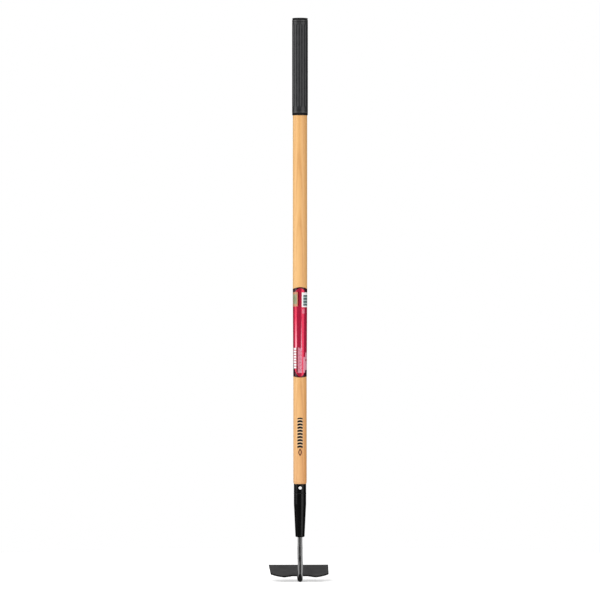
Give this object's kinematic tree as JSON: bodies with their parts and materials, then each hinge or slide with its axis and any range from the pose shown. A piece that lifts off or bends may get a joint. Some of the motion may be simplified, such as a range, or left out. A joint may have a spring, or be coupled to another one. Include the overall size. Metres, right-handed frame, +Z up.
{
  "type": "draw hoe",
  "caption": "Long-handled garden draw hoe: turned wooden pole, fluted rubber end grip, film sleeve, black tapered ferrule, steel gooseneck and flat blade.",
  "frame": {"origin": "on the handle's axis, level with the lowest point of the gooseneck, where the hoe meets the ground when it is held upright", "axes": "+Z up the handle towards the grip, +Y from the handle towards the blade's cutting edge, X along the blade's width"},
  "size_m": [0.1588, 0.1248, 1.494],
  "materials": {
    "wood": "satin",
    "rubber": "matte",
    "film": "gloss",
    "black_paint": "gloss",
    "rivet_steel": "satin",
    "rod_steel": "satin",
    "blade_steel": "satin",
    "weld_steel": "satin"
  },
  "bodies": {
    "root": {"handle": "wood", "grip": "rubber", "label_wrap": "film", "ferrule": "black_paint", "rivet": "rivet_steel", "shank": "rod_steel", "blade": "blade_steel", "blade_welds": "weld_steel"}
  },
  "joints": []
}
